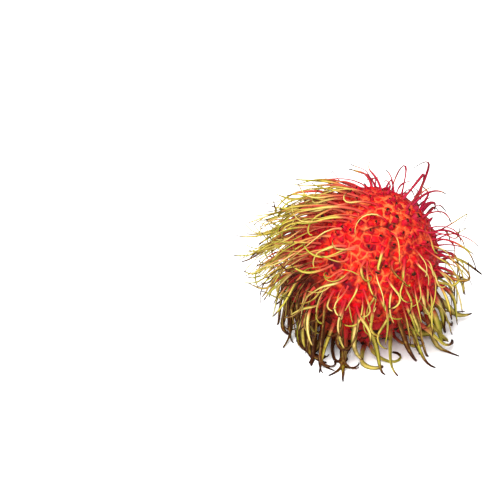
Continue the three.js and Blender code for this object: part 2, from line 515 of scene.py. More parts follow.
@dataclass(frozen=True)
class Change:
    """By what share a measure of the spines changes in each region."""

    left: float = 0.0
    flank: float = 0.0
    low: float = 0.0
    exposed: float = 0.0
    front: float = 0.0

    def factor(self, region: Region) -> float:
        """What the measure is multiplied by there.

        Args:
            region: the region of the spine.

        Returns:
            The factor.
        """
        sides = (1 + self.left * region.left) * (1 + self.flank * region.flank)
        sides *= 1 + self.front * region.front
        return sides * (1 + self.low * region.low) * (1 + self.exposed * region.exposed)


@dataclass(frozen=True)
class Root:
    """Where one spine grows and how the rind lies there."""

    index: int
    place: np.ndarray  # the unit vector of the upright fruit
    at: np.ndarray  # the point of the rind, in metres
    normal: np.ndarray  # straight out of the rind
    comb: np.ndarray  # along the rind, away from the blossom end
    side: np.ndarray  # square to both
    region: Region


@dataclass(frozen=True)
class Habit:
    """How one spine bends on its way. Each angle is in radians, over its whole length."""

    pull: np.ndarray  # the way that it falls towards
    fall: float
    swirl: float  # sideways, all one way
    wave: float  # sideways, there and back
    curl: float  # near the tip
    curl_from: float  # the share of the length where the curl starts
    hooked: bool  # True if it curls in the plane of its root, False if round the outward way


@dataclass(frozen=True)
class Spine:
    """One spine: its root, its kind and the course it takes."""

    root: Root
    kind: SpineKind
    points: np.ndarray
    length: float
    stout: float


@dataclass(frozen=True)
class Tuft:
    """Extra fine spines that crowd one side of the fruit."""

    count: int
    middle: Way  # the way to it from the fruit's centre
    reach: float  # how far it reaches from its middle, in degrees
    stout: float  # how thick its spines are, as a share of what is usual there
    jitter: float = 0.05

    def place(self, fruit: Fruit, index: int, number: int) -> np.ndarray:
        """Where one of them stands.

        Args:
            fruit: the fruit.
            index: the spine's number among all.
            number: its number in the tuft.

        Returns:
            The unit vector of the upright fruit.
        """
        even = (number + 0.5) / self.count
        height = 1 - (1 - math.cos(math.radians(self.reach))) * even
        flat = math.sqrt(1 - height * height)
        turn = index * GOLDEN_TURN
        middle = unit(np.array(self.middle))
        across = unit(np.cross(middle, UP))
        up = np.cross(across, middle)
        way = middle * height + across * math.cos(turn) * flat + up * math.sin(turn) * flat
        return unit(way + jitter(index) * self.jitter) @ fruit.turn


@dataclass
class SpineCoat:
    """Where the spines stand and how they run, by the same rule as the solid's. Angles are in degrees."""

    fruit: Fruit

    # Where they stand
    count: int = 430
    blossom_crowding: float = 0.55
    crowding_reach: float = 0.06
    place_jitter: float = 0.34
    bare_foot: float = 1.5 * MM

    # How long they are
    length: float = 13.0 * MM
    length_spread: float = 5.6 * MM
    left_growth: float = 6.4 * MM
    low_growth: float = 4.2 * MM
    right_growth: float = 3.4 * MM
    top_loss: float = 5.0 * MM
    front_loss: float = 2.0 * MM

    # How thick they are
    neck_radius: float = 0.82 * MM
    tip_radius: float = 0.28 * MM
    taper: float = 1.8
    high_stout: float = 0.41
    low_stout: float = 0.9
    stout_spread: float = 0.35
    exposed_stout: Change = Change(exposed=-0.15)

    # Which broke off, and how short
    broken: float = 0.1
    broken_at_ends: float = 0.5
    near_blossom: Span = (0.5, 0.93)
    faces_under: Span = (0.2, 0.5)
    broken_length: float = 1.0 * MM
    broken_length_spread: float = 0.5
    broken_stout: float = 1.1

    # Which way they leave the rind
    comb: float = 0.5
    comb_spread: float = 0.8
    comb_change: Change = Change(low=-0.8, exposed=-0.5)
    sweep: float = 1.15
    swept_flat: float = 0.35
    scatter: float = 0.7
    calm: Change = Change(flank=-0.55, low=-0.35, exposed=-0.5, front=0.4)
    own_aside: float = 0.8
    lock_aside: float = 0.6
    lock_rates: tuple[float, ...] = (4.6, 2.3, 3.9, 3.1)
    lock_phase: float = 1.7
    tucked_way: Way = (0.15, -0.5, -0.8)
    exposed_lift: float = 0.35

    # How they bend on their way
    fall: float = 84.0
    fall_spread: float = 80.0
    fall_change: Change = Change(left=-0.45, low=-0.6)
    exposed_fall: float = 0.5
    exposed_high_fall: float = 0.7
    pull_down: float = 0.9
    pull_combed: float = 0.3
    pull_forward: float = 0.35
    forward: tuple[float, float] = (1.0, -0.3)
    forward_tucked: float = 0.9
    swirl: float = 110.0
    own_swirl: float = 0.8
    lock_swirl: float = 0.4
    wave: float = 75.0
    curl: float = 230.0
    curl_from: float = 0.55
    hooked: float = 0.4

    # Which stand up in a loop
    looped: float = 0.12
    looped_where: float = 0.3
    loop_growth: float = 6.5 * MM
    loop_curl: float = 190.0
    loop_from: float = 0.25
    loop_fall: float = 0.3

    # The extra fine ones, and where none of them grow
    bald_rises: Span = (0.0, 0.3)
    bald_from: float = 0.1
    tufts: tuple[Tuft, ...] = (
        Tuft(120, (-0.74, 0.22, 0.63), 52.0, 0.8),
        Tuft(30, (-0.85, -0.45, -0.15), 30.0, 0.9),
        Tuft(18, (0.75, -0.62, -0.05), 34.0, 0.75),
        Tuft(22, (-0.37, -0.91, 0.2), 28.0, 0.8),
    )

    # How they are run, clear of the rind and of the surface below
    steps: int = 24
    landing: float = 4.5 * MM
    landing_ease: float = 0.72
    level: float = 0.02
    rind_clearance: float = 1.1 * MM
    clear_by: float = 3.0
    surface_clearance: float = -0.1 * MM

    roots: list[Root] = field(init=False)
    spines: list[Spine] = field(init=False)

    def __post_init__(self) -> None:
        """Runs every spine that has room to grow."""
        self.roots = [self.root(index, self.place(index)) for index in range(self.count)]
        standing = [root for root in self.roots if root.at[2] >= self.bare_foot]
        self.spines = [self.grown(root, self.kind(root)) for root in standing]
        index = self.count
        for tuft in self.tufts:
            for number in range(tuft.count):
                root = self.root(index, tuft.place(self.fruit, index, number))
                bald = far_side(root.normal) * smooth_step(*self.bald_rises, root.normal[2])
                if root.at[2] >= self.bare_foot and bald <= self.bald_from:
                    self.spines.append(self.grown(root, SpineKind.FINE, tuft.stout))
                index += 1

    def place(self, index: int) -> np.ndarray:
        """Where a spine stands, on a spiral from end to end.

        Args:
            index: the spine's number.

        Returns:
            The unit vector of the upright fruit.
        """
        spacing = math.sqrt(4 * math.pi / self.count)
        even = 1 - 2 * (index + 0.5) / self.count
        crowd = 1 - self.blossom_crowding * math.exp(-(1 - even) / self.crowding_reach)
        height = 1 - (1 - even) * crowd
        turn = index * GOLDEN_TURN
        flat = math.sqrt(max(0.0, 1 - height * height))
        upright = np.array([math.cos(turn) * flat, math.sin(turn) * flat, height])
        return unit(upright + jitter(index) * self.place_jitter * spacing * crowd)

    def root(self, index: int, place: np.ndarray) -> Root:
        """The root of the spine that stands at that place of the upright fruit.

        Args:
            index: the spine's number.
            place: the unit vector of the upright fruit.

        Returns:
            The root.
        """
        at = self.fruit.on_rind(place)
        normal = self.fruit.outward(at)
        comb = self.fruit.comb(normal)
        return Root(index, place, at, normal, comb, np.cross(normal, comb), Region.at(normal))

    def kind(self, root: Root) -> SpineKind:
        """What became of a spine: many broke off short round the blossom end and under the fruit.

        Args:
            root: where it grows.

        Returns:
            Its kind.
        """
        blossom = smooth_step(*self.near_blossom, root.place[2])
        under = smooth_step(*self.faces_under, -root.normal[2])
        if draw(root.index, Draw.BROKEN) < self.broken + self.broken_at_ends * (blossom + under):
            return SpineKind.BROKEN
        if root.region.exposed > self.looped_where and draw(root.index, Draw.LOOPED) < self.looped:
            return SpineKind.LOOPED
        return SpineKind.WHOLE

    def lock(self, place: np.ndarray, phase: float) -> float:
        """A number from -1 to 1 that neighbouring spines nearly share, so that they lie in locks.

        Args:
            place: the unit vector of the upright fruit where a spine stands.
            phase: which pattern of locks.

        Returns:
            The number.
        """
        across, along, turning, rising = self.lock_rates
        first = math.sin(across * place[0] + along * place[1] + phase)
        return first * math.cos(turning * place[1] - rising * place[2] + self.lock_phase * phase)

    def length_of(self, root: Root, kind: SpineKind) -> float:
        """How long that spine is.

        Args:
            root: where it grows.
            kind: what became of it.

        Returns:
            Its length, in metres.
        """
        if kind is SpineKind.BROKEN:
            change = self.broken_length_spread * spread(root.index, Draw.STUB_LENGTH)
            return self.broken_length * (1 + change)
        region = root.region
        length = self.length + self.length_spread / 2 * spread(root.index, Draw.LENGTH)
        grown = self.left_growth * region.flank + self.low_growth * region.low
        length += grown - self.front_loss * region.front
        length += region.exposed * (self.right_growth * region.right - self.top_loss * region.high)
        if kind is SpineKind.LOOPED:
            length += self.loop_growth * (1 + region.high)
        return length

    def stoutness(self, root: Root, kind: SpineKind) -> float:
        """How thick that spine is.

        Args:
            root: where it grows.
            kind: what became of it.

        Returns:
            Its share of the radii above.
        """
        stout = between(self.high_stout, self.low_stout, root.region.low)
        stout *= 1 + self.stout_spread * spread(root.index, Draw.STOUTNESS)
        if kind is SpineKind.BROKEN:
            stout *= self.broken_stout * (1 + draw(root.index, Draw.STUB_STOUTNESS) ** 2)
        return stout * self.exposed_stout.factor(root.region)

    def radius(self, share: float | np.ndarray, stout: float) -> float | np.ndarray:
        """A spine's radius at a share of its length, once it has left its knob."""
        return stout * between(self.neck_radius, self.tip_radius, share**self.taper)

    def heading(self, root: Root) -> np.ndarray:
        """The direction in which that spine leaves the rind.

        Args:
            root: where it grows.

        Returns:
            The unit vector.
        """
        region = root.region
        comb = self.comb * (1 + self.comb_spread * spread(root.index, Draw.LEAN))
        comb *= self.comb_change.factor(region)
        own = self.own_aside * spread(root.index, Draw.ASIDE)
        aside = self.lock_aside * self.lock(root.place, 1) + own
        aside *= self.scatter * self.calm.factor(region)
        upright = 1 - self.swept_flat * region.left
        leaning = root.normal * upright + root.comb * comb + root.side * aside
        leaning = unit(leaning + LEFT * self.sweep * region.left)
        lift = self.exposed_lift * region.exposed * (1 - region.high)
        return unit(leaning + region.tucked * np.array(self.tucked_way) + lift * UP)

    def habit(self, root: Root, kind: SpineKind) -> Habit:
        """How that spine bends on its way.

        Args:
            root: where it grows.
            kind: what became of it.

        Returns:
            Its habit.
        """
        index, region = root.index, root.region
        turned_in = self.forward_tucked * region.tucked
        forward = np.array([self.forward[0] - turned_in, self.forward[1] - turned_in, 0.0])
        sweep = self.sweep * region.left * LEFT
        combed = -self.pull_down * UP + self.pull_combed * root.comb
        pull = unit(combed + sweep + self.pull_forward * region.low * forward)
        fall = math.radians(self.fall + self.fall_spread / 2 * spread(index, Draw.FALL))
        free = self.exposed_fall - self.exposed_high_fall * region.high
        fall *= self.fall_change.factor(region) * (1 + region.exposed * free)
        calm = self.calm.factor(region)
        swirl = self.lock_swirl * self.lock(root.place, 2) + self.own_swirl * spread(index, Draw.SWIRL)
        hand = math.copysign(1, spread(index, Draw.HAND))
        looped = kind is SpineKind.LOOPED
        curl = self.curl * draw(index, Draw.CURL) ** 2 * between(hand, 1, region.low)
        return Habit(
            pull=pull,
            fall=fall * (self.loop_fall if looped else 1),
            swirl=math.radians(self.swirl) * calm * swirl,
            wave=math.radians(self.wave) * calm * spread(index, Draw.WAVE),
            curl=math.radians(self.loop_curl * hand if looped else curl),
            curl_from=self.loop_from if looped else self.curl_from,
            hooked=looped or draw(index, Draw.HOOKED) < self.hooked * (1 - region.low),
        )

    def grown(self, root: Root, kind: SpineKind, thinned: float = 1.0) -> Spine:
        """Runs one spine from its root to its tip.

        Args:
            root: where it grows.
            kind: what became of it.
            thinned: its thickness, as a share of what is usual there.

        Returns:
            The spine.
        """
        length = self.length_of(root, kind)
        stout = self.stoutness(root, kind) * thinned
        heading = self.heading(root)
        habit = self.habit(root, kind)
        at = root.at
        points = [at]
        for step in range(1, self.steps + 1):
            share = step / self.steps
            if kind is not SpineKind.BROKEN:
                heading = self.bent(heading, at, share, root, habit)
            if at[2] < self.landing and heading[2] < 0:
                heading = unit(heading * np.array([1.0, 1.0, self.landing_ease]))
            at, heading = self.clear(at + heading * length / self.steps, heading, share, stout)
            points.append(at)
        return Spine(root, kind, np.array(points), length, stout)

    def bent(
        self, heading: np.ndarray, at: np.ndarray, share: float, root: Root, habit: Habit
    ) -> np.ndarray:
        """The direction of a spine after one more step.

        Args:
            heading: its direction before.
            at: the point that it has reached.
            share: the share of its length that the step ends at.
            root: where it grows.
            habit: how it bends.

        Returns:
            The new direction.
        """
        region = root.region
        pace = between(2 * (1 - share), 1, region.exposed)
        heading = turned(heading, unit(np.cross(heading, habit.pull)), pace * habit.fall / self.steps)
        out = unit(unit(at - self.fruit.centre) * (1 - region.low) + UP * region.low)
        sideways = habit.swirl + 2 * habit.wave * math.sin(2 * math.pi * share)
        heading = turned(heading, out, sideways / self.steps)
        if share > habit.curl_from:
            hinge = root.side if habit.hooked else out
            heading = turned(heading, hinge, habit.curl / (self.steps * (1 - habit.curl_from)))
        return heading

    def clear(
        self, at: np.ndarray, heading: np.ndarray, share: float, stout: float
    ) -> tuple[np.ndarray, np.ndarray]:
        """Moves a point of a spine out of the rind and off the surface that the fruit lies on.

        Args:
            at: the point.
            heading: the spine's direction there.
            share: the point's share of the spine's length.
            stout: the spine's stoutness.

        Returns:
            The point and the direction.
        """
        deep = 1 + self.rind_clearance * min(1, self.clear_by * share) / (self.fruit.width / 2)
        out = float(self.fruit.depth_share(at))
        if out < deep:
            at = self.fruit.centre + (at - self.fruit.centre) * deep / out
        lowest = self.surface_clearance + self.radius(share, stout)
        if at[2] < lowest:
            at = np.array([at[0], at[1], lowest])
            heading = unit(np.array([heading[0], heading[1], max(heading[2], self.level)]))
        return at, heading


# Meshes


def deselect() -> None:
    """Deselects every object, because an operator acts on all that is selected."""
    bpy.ops.object.select_all(action="DESELECT")


def read_points(piece: bpy.types.Object) -> np.ndarray:
    """The places of a piece's vertices.

    Args:
        piece: the piece.

    Returns:
        One row for each vertex.
    """
    points = np.empty(len(piece.data.vertices) * 3)
    piece.data.vertices.foreach_get("co", points)
    return points.reshape(-1, 3)


def write_points(piece: bpy.types.Object, points: np.ndarray) -> None:
    """Moves a piece's vertices."""
    piece.data.vertices.foreach_set("co", points.astype(np.float32).ravel())
    piece.data.update()


def write_shares(piece: bpy.types.Object, shares: dict[str, np.ndarray]) -> None:
    """Gives each vertex the values that the piece's material reads by name.

    Args:
        piece: the piece.
        shares: one value for each vertex, by name.
    """
    for name, values in shares.items():
        layer = piece.data.attributes.new(name, "FLOAT", "POINT")
        layer.data.foreach_set("value", values.astype(np.float32).ravel())


def finished(piece: bpy.types.Object, material: bpy.types.Material) -> bpy.types.Object:
    """Shades a piece smooth, dresses it, hangs it on the fruit's body and hides the solid's own part.

    Args:
        piece: the piece.
        material: what it wears.

    Returns:
        The piece.
    """
    piece.data.polygons.foreach_set("use_smooth", np.ones(len(piece.data.polygons), bool))
    piece.data.update()
    piece.data.materials.append(material)
    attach(piece, BODY)
    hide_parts(NODE)
    return piece


# The rind


@dataclass(frozen=True)
class RindFinish:
    """The rind's colours: red lumps, an orange net between them, painted shade beside the grooves, dried
    roots, brown seams and a brown stain that is partly painted shade.
    """

    red: Colour = srgb(182, 3, 12)
    warm: Colour = srgb(192, 26, 6)
    crimson: Colour = srgb(149, 0, 26)
    # Light orange of the net, also laid in pale speckles that are partly mottling and partly painted
    # highlights
    net: Colour = srgb(214, 100, 52)
    # Deep red: the painted shade beside the grooves, and the dark speckles and flecks
    deep: Colour = srgb(100, 0, 6)
    dried: Colour = srgb(37, 10, 22)
    # Brown of the seams, and of the stain on the lower left flank, which is partly painted shade
    brown: Colour = srgb(40, 20, 11)

    # How large each noise is, and at which values of it a coat starts to show and is full
    patch_size: float = 8 * MM
    patch_shows: Span = (0.4, 0.6)
    blotch_size: float = 2.4 * MM
    blotch_shows: Span = (0.47, 0.58)
    wear_size: float = 1.7 * MM
    wear_shows: Span = (0.4, 0.62)
    speckle_size: float = 1.9 * MM
    deep_speckle_shows: Span = (0.5, 0.64)
    # The pale speckles are partly mottling and partly painted highlights on the lumps
    pale_speckle_shows: Span = (0.46, 0.32)
    fleck_size: float = 0.6 * MM
    fleck_shows: Span = (0.58, 0.75)

    # How much a coat covers where it is full
    warm_cover: float = 0.6
    cool_cover: float = 0.6
    blotch_cover: float = 0.95
    groove_shade_cover: float = 0.9
    speckle_cover: float = 0.45
    fleck_cover: float = 0.4

    # How strong a coat is where another share is 0, and where it is 1
    blotch_by_net: Span = (1.0, 0.5)
    groove_shade_by_wear: Span = (1.2, 0.1)
    net_by_patch: Span = (0.25, 1.05)
    net_by_wear: Span = (0.2, 1.4)
    net_by_fleck: Span = (0.7, 1.7)
    speckle_by_patch: Span = (0.12, 0.47)
    brown_and_shade_by_fleck: Span = (0.75, 1.25)
    dried_by_fleck: Span = (0.7, 1.2)

    # The surface, and how much rougher it is where it is flecked, dried, or brown in the seams and in the
    # stain that is partly painted shade
    specular: float = 0.05
    roughness: float = 0.42
    fleck_roughness: float = 0.16
    dried_roughness: float = 0.25
    brown_and_shade_roughness: float = 0.2
    grain_size: float = 0.22 * MM
    grain_share: float = 0.4
    grain_depth: float = 0.12 * MM
    grain_strength: float = 0.5

    def material(self) -> bpy.types.Material:
        """Builds the rind's material.

        Returns:
            The material.
        """
        recipe = Recipe("rind")
        # The rim attribute is painted shade: a darker band beside each groove, where shade falls between
        # the lumps
        net, rim = recipe.attribute("net"), recipe.attribute("rim")
        dried, brown_and_shade = recipe.attribute("dried"), recipe.attribute("brown_and_shade")
        cool = recipe.attribute("cool")
        patches = recipe.noise(self.patch_size).ramp(*self.patch_shows)
        blotches = recipe.noise(self.blotch_size, detail=4.0, roughness=0.6).ramp(*self.blotch_shows)
        worn = recipe.noise(self.wear_size, detail=3.0, roughness=0.6).ramp(*self.wear_shows)
        speckle = recipe.noise(self.speckle_size)
        flecks = recipe.noise(self.fleck_size, detail=3.0)
        net_coat = net * patches.between(*self.net_by_patch) * worn.between(*self.net_by_wear)
        net_coat = net_coat * flecks.between(*self.net_by_fleck)
        colour = recipe.painted(
            self.red,
            (patches * self.warm_cover, self.warm),
            (cool * self.cool_cover, self.crimson),
            (blotches * net.between(*self.blotch_by_net) * self.blotch_cover, self.crimson),
            # Painted shade in the band beside the grooves
            (rim * worn.between(*self.groove_shade_by_wear) * self.groove_shade_cover, self.deep),
            (net_coat, self.net),
            (speckle.ramp(*self.deep_speckle_shows) * self.speckle_cover, self.deep),
            # Pale speckles: partly mottling, partly painted highlights
            (speckle.ramp(*self.pale_speckle_shows) * patches.between(*self.speckle_by_patch), self.net),
            (flecks.ramp(*self.fleck_shows) * self.fleck_cover, self.deep),
            # Brown seams, and a stain on the lower left flank that is partly painted shade
            (brown_and_shade * flecks.between(*self.brown_and_shade_by_fleck), self.brown),
            (dried * flecks.between(*self.dried_by_fleck), self.dried),
        )
        roughness = self.roughness + flecks * self.fleck_roughness
        roughness = roughness + dried * self.dried_roughness + brown_and_shade * self.brown_and_shade_roughness
        recipe.set(Base_Color=colour, Roughness=roughness, Specular_IOR_Level=self.specular)
        grain = flecks + recipe.noise(self.grain_size) * self.grain_share
        recipe.bump(grain, self.grain_depth, self.grain_strength)
        return recipe.material


@dataclass(frozen=True)
class Seam:
    """A dry brown line in the rind that starts at the blossom end."""

    way: Way  # the side of the fruit that it runs down
    width: float
    length: float
    weight: float  # how brown it is


@dataclass(frozen=True)
class Lumps:
    """The rind's lumps: their middles, which of them carry a spine, and which are low, as under a stub."""

    middles: np.ndarray
    spined: np.ndarray
    stubbed: np.ndarray


@dataclass(frozen=True)
class Spots:
    """Rows of spots of the rind, and how its lumps lie round them."""

    points: np.ndarray
    normals: np.ndarray
    lump: np.ndarray  # the number of the nearest lump
    middle: np.ndarray  # its middle
    reach: np.ndarray  # the way to its middle, in metres
    border: np.ndarray  # the way to its border with the next lump, in metres
    size: np.ndarray  # its size, as a share of the usual
    blossom: np.ndarray  # the way to the blossom end, in metres


@dataclass
class Rind:
    """The rind: a closed skin of lumps, most of them under a spine, parted by grooves."""

    coat: SpineCoat
    finish: RindFinish = RindFinish()
    cuts: tuple[int, int] = (31, 3)  # each side of the cube into 32, and each of those into 4

    # The relief
    usual_gap: float = 4.6 * MM
    least_size: float = 0.4
    most_size: float = 1.1
    groove_depth: float = 0.5 * MM
    groove_width: float = 1.6 * MM
    vein_width: float = 0.95 * MM
    # The next two place the painted shade beside the grooves: its distance from a lump's border, and its
    # width
    groove_shade_offset: float = 0.75 * MM
    rim_width: float = 0.3 * MM
    dome_rise: float = 0.25 * MM
    dome_reach: float = 1.1
    knob_rise: float = 0.55 * MM
    knob_reach: float = 1.0 * MM
    knob_lean: float = 0.35 * MM
    stub_knob: float = 0.6

    # The dried marks at the roots
    mark_radius: float = 1.15 * MM
    least_mark: float = 0.75
    mark_growth: float = 0.9
    mark_flatness: int = 4
    marked: Span = (0.5, 0.8)
    whole_mark: float = 0.85
    stub_mark: float = 0.75
    uneven: float = 0.35
    uneven_size: float = 1.1 * MM
    uneven_seed: int = 9

    # Where the skin turns crimson and how the net fades
    patchy: float = 0.15
    patchy_size: float = 9 * MM
    patchy_seed: int = 4
    cool_right: Span = (0.4, 0.8)
    cool_back: Span = (-0.15, 0.25)
    net_near_blossom: Span = (0.25, 0.8)
    net_elsewhere: float = 0.22
    net_loss: float = 0.6

    # The bare lumps, the bend of the grooves, and the scar of the blossom
    bare_count: int = 150
    bare_reach: float = 46.0
    bare_clearance: float = 1.5 * MM
    warp: float = 0.45 * MM
    warp_size: float = 3.0 * MM
    scar_radius: float = 1.5 * MM
    scar_depth: float = 0.7 * MM
    scar_mark: float = 0.9 * MM
    scar_dryness: float = 0.7

    # What has turned brown: the seams, and a stain on the lower left flank that is partly a browned patch
    # and partly painted shade
    stain_and_shade_way: Way = (-0.85, -0.45, -0.3)
    stain_and_shade_weight: float = 0.85
    stain_and_shade_edge: Span = (0.78, 0.9)
    seam_start: float = 0.5 * MM
    seam_fades_from: float = 0.6
    seams: tuple[Seam, ...] = (
        Seam((0.0, -0.5, -0.87), 0.5 * MM, 13.0 * MM, 0.75),
        Seam((0.82, 0.28, 0.5), 0.8 * MM, 4.8 * MM, 0.85),
        Seam((-0.96, -0.1, -0.25), 0.45 * MM, 10.0 * MM, 0.8),
    )

    batch: int = 4096  # how many points are compared with the lumps at a time

    def shell(self) -> bpy.types.Object:
        """A cube with its faces divided into even squares.

        Returns:
            The cube.
        """
        deselect()
        bpy.ops.mesh.primitive_cube_add(size=2, calc_uvs=True)
        piece = bpy.context.object
        piece.name = piece.data.name = "rind"
        bpy.ops.object.mode_set(mode="EDIT")
        bpy.ops.mesh.select_all(action="SELECT")
        for cuts in self.cuts:
            bpy.ops.mesh.subdivide(number_cuts=cuts)
        bpy.ops.object.mode_set(mode="OBJECT")
        piece.data.uv_layers[0].name = "OFBake"
        return piece

    def lumps(self) -> Lumps:
        """The lumps under the spines, and small bare ones between them round the blossom end.

        Returns:
            The lumps.
        """
        roots = self.coat.roots
        middles = np.array([root.at for root in roots])
        turns = np.arange(self.bare_count) * GOLDEN_TURN
        depth = 1 - math.cos(math.radians(self.bare_reach))
        heights = 1 - depth * (np.arange(self.bare_count) + 0.5) / self.bare_count
        flats = np.sqrt(1 - heights**2)
        units = np.stack([np.cos(turns) * flats, np.sin(turns) * flats, heights], -1)
        bare = self.coat.fruit.on_rind(units)
        clearance = np.linalg.norm(bare[:, None] - middles[None], axis=-1).min(1)
        bare = bare[clearance > self.bare_clearance]
        stubbed = [self.coat.kind(root) is SpineKind.BROKEN for root in roots]
        return Lumps(
            middles=np.concatenate([middles, bare]),
            spined=np.arange(len(middles) + len(bare)) < len(middles),
            stubbed=np.concatenate([stubbed, np.ones(len(bare), bool)]),
        )

    def nearest(self, points: np.ndarray, middles: np.ndarray) -> tuple[np.ndarray, np.ndarray]:
        """For each point, which lump is nearest and which comes next.

        Args:
            points: rows of points.
            middles: the lumps' middles.

        Returns:
            The numbers of both lumps, for each point.
        """
        first, second = np.empty(len(points), int), np.empty(len(points), int)
        for start in range(0, len(points), self.batch):
            part = slice(start, start + self.batch)
            far = ((points[part, None, :] - middles[None, :, :]) ** 2).sum(-1)
            near = np.argpartition(far, 2, axis=1)[:, :3]
            order = np.take_along_axis(far, near, 1).argsort(1)
            near = np.take_along_axis(near, order, 1)
            first[part], second[part] = near[:, 0], near[:, 1]
        return first, second

    def spots(self, points: np.ndarray, normals: np.ndarray, lumps: Lumps) -> Spots:
        """Shifts rows of points a little, to bend the grooves, and finds how the lumps lie round them.

        Args:
            points: points of the smooth rind.
            normals: the rind's outward directions there.
            lumps: the lumps.

        Returns:
            The spots.
        """
        shift = np.stack([ripple(points, self.warp_size, way) for way in range(3)], -1)
        points = points + self.warp * shift
        first, second = self.nearest(points, lumps.middles)
        own, other = lumps.middles[first], lumps.middles[second]
        gap = np.linalg.norm(other - own, axis=1)
        reach = np.linalg.norm(points - own, axis=1)
        return Spots(
            points=points,
            normals=normals,
            lump=first,
            middle=own,
            reach=reach,
            border=(np.linalg.norm(points - other, axis=1) ** 2 - reach**2) / (2 * gap),
            size=np.clip(gap / self.usual_gap, self.least_size, self.most_size),
            blossom=np.linalg.norm(points - self.coat.fruit.end(1), axis=1),
        )

    def height(self, spots: Spots, lumps: Lumps) -> np.ndarray:
        """How high the skin stands over the smooth rind.

        Args:
            spots: the spots.
            lumps: the lumps.

        Returns:
            The heights, in metres.
        """
        groove = bell(spots.border, self.groove_width / 2 * spots.size)
        dome = smooth_step(0, self.groove_width * self.dome_reach, spots.border / spots.size)
        lean = self.coat.fruit.comb(spots.normals) * self.knob_lean
        shift = np.linalg.norm(spots.points - spots.middle - lean, axis=1)
        share = np.where(lumps.stubbed[spots.lump], self.stub_knob, 1.0)
        knob = bell(shift, self.knob_reach * spots.size) * share
        relief = self.knob_rise * knob + self.dome_rise * dome - self.groove_depth * groove
        return spots.size * relief - self.scar_depth * bell(spots.blossom, self.scar_radius)

    def dried(self, spots: Spots, lumps: Lumps) -> np.ndarray:
        """How dry and dark the skin is, in a mark at the root of many spines and on the blossom's scar.

        Args:
            spots: the spots.
            lumps: the lumps.

        Returns:
            The dryness, from 0 to 1.
        """
        numbers = range(len(lumps.middles))
        marks = np.array([draw(index, Draw.ROOT_MARK) for index in numbers])
        sizes = np.array([draw(index, Draw.ROOT_MARK_SIZE) for index in numbers])
        sizes = self.least_mark + self.mark_growth * sizes**2
        whole = self.whole_mark * smooth_step(*self.marked, marks)
        stub = self.stub_mark + (1 - self.stub_mark) * marks
        dark = np.where(lumps.stubbed, stub, whole) * lumps.spined
        uneven = 1 + self.uneven * ripple(spots.points, self.uneven_size, self.uneven_seed)
        radius = self.mark_radius * spots.size * uneven * sizes[spots.lump]
        root = dark[spots.lump] * bell(spots.reach, radius, self.mark_flatness)
        scar = self.scar_dryness * bell(spots.blossom, self.scar_mark * uneven, self.mark_flatness)
        return np.maximum(root, scar)

    def brown_and_shade(self, spots: Spots) -> np.ndarray:
        """How brown the skin is: along the seams, and in a stain on the lower left flank that is partly a
        browned patch and partly painted shade.

        Args:
            spots: the spots.

        Returns:
            The brownness, from 0 to 1.
        """
        fruit = self.coat.fruit
        offset = spots.points - fruit.centre
        facing = unit(offset) @ unit(np.array(self.stain_and_shade_way))
        brown = self.stain_and_shade_weight * smooth_step(*self.stain_and_shade_edge, facing)
        for seam in self.seams:
            way = np.array(seam.way)
            way = unit(way - fruit.axis * (way @ fruit.axis))
            line = bell(offset @ np.cross(fruit.axis, way), seam.width)
            line *= smooth_step(-self.seam_start, self.seam_start, offset @ way)
            line *= 1 - smooth_step(self.seam_fades_from * seam.length, seam.length, spots.blossom)
            brown = np.maximum(brown, seam.weight * line)
        return brown

    def cool(self, spots: Spots, patchy: np.ndarray) -> np.ndarray:
        """How far the skin turns from orange red to crimson, towards the right and the far side.

        Args:
            spots: the spots.
            patchy: what makes the edges of such changes uneven.

        Returns:
            The change, from 0 to 1.
        """
        right = smooth_step(*self.cool_right, spots.normals[:, 0] + patchy)
        far = smooth_step(*self.cool_back, spots.normals[:, 1] + patchy)
        return np.maximum(right, far)

    def net(self, spots: Spots, patchy: np.ndarray, cool: np.ndarray) -> np.ndarray:
        """How much of the light net shows: it runs in the grooves and fades away from the blossom end.

        Args:
            spots: the spots.
            patchy: what makes the edges of such changes uneven.
            cool: how far the skin turns crimson.

        Returns:
            The net, from 0 to 1.
        """
        ripe = smooth_step(*self.net_near_blossom, spots.normals @ self.coat.fruit.axis + patchy)
        ripe = self.net_elsewhere + (1 - self.net_elsewhere) * ripe
        return ripe * (1 - self.net_loss * cool) * bell(spots.border, self.vein_width / 2 * spots.size)

    def build(self) -> bpy.types.Object:
        """Builds and dresses the rind.

        Returns:
            The rind.
        """
        piece = self.shell()
        cube = np.tan(read_points(piece) * math.pi / 4)
        points = self.coat.fruit.on_rind(unit(cube))
        normals = self.coat.fruit.outward(points)
        lumps = self.lumps()
        spots = self.spots(points, normals, lumps)
        points = points + normals * self.height(spots, lumps)[:, None]
        points[:, 2] = np.maximum(points[:, 2], LIFT)
        write_points(piece, points)
        patchy = self.patchy * ripple(spots.points, self.patchy_size, self.patchy_seed)
        cool = self.cool(spots, patchy)
        shares = {
            "cool": cool,
            "net": self.net(spots, patchy, cool),
            # Painted shade in a band beside each groove
            "rim": bell(spots.border / spots.size - self.groove_shade_offset, self.rim_width),
            "dried": self.dried(spots, lumps),
            # Brown seams, and a stain that is partly painted shade
            "brown_and_shade": self.brown_and_shade(spots),
        }
        write_shares(piece, shares)
        return finished(piece, self.finish.material())


# The spines


